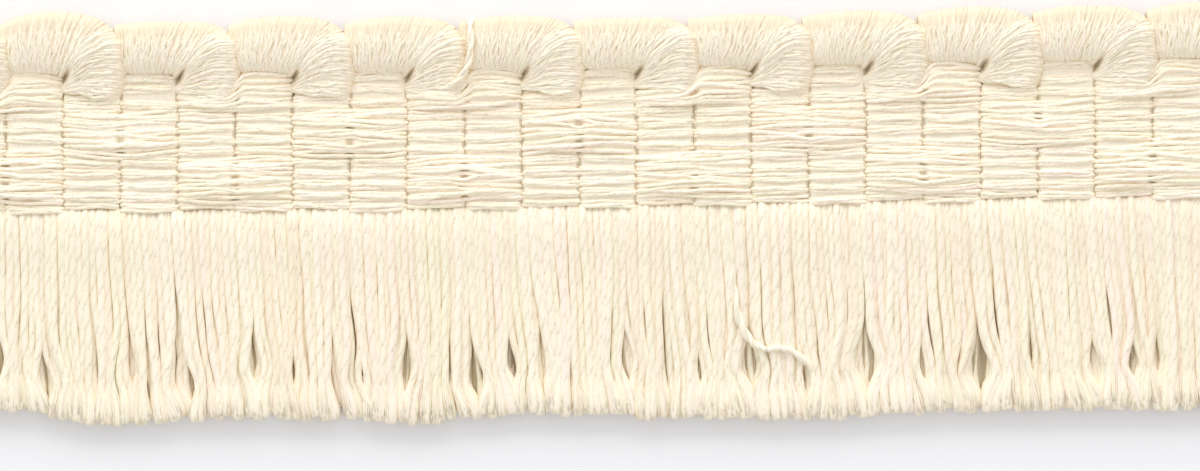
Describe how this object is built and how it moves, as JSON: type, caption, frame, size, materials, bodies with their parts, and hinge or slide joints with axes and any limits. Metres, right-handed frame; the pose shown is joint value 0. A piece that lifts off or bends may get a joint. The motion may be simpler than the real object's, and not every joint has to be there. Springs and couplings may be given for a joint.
{
  "type": "brush fringe trim",
  "caption": "Cut length of brush fringe trim with a basket-woven heading, a row of turned-over yarn loops above it and a cut yarn fringe below.",
  "frame": {"origin": "bottom centre of the trim's box, on the surface that its flat back rests on", "axes": "+X runs along the trim, to the right as seen from its face; +Y points to the loops and -Y to the cut fringe; +Z points out of the face, away from the surface"},
  "size_m": [0.258, 0.0812, 0.0075],
  "materials": {
    "heading_yarn": "matte cream cotton yarn",
    "loop_yarn": "matte cream cotton yarn",
    "fringe_yarn": "matte cream cotton yarn"
  },
  "bodies": {
    "root": {"heading": "heading_yarn", "loop_01": "loop_yarn", "loop_02": "loop_yarn", "loop_03": "loop_yarn", "loop_04": "loop_yarn", "loop_05": "loop_yarn", "loop_06": "loop_yarn", "loop_07": "loop_yarn", "loop_08": "loop_yarn", "loop_09": "loop_yarn", "loop_10": "loop_yarn", "loop_11": "loop_yarn", "loop_12": "loop_yarn", "fringe": "fringe_yarn"}
  },
  "joints": []
}
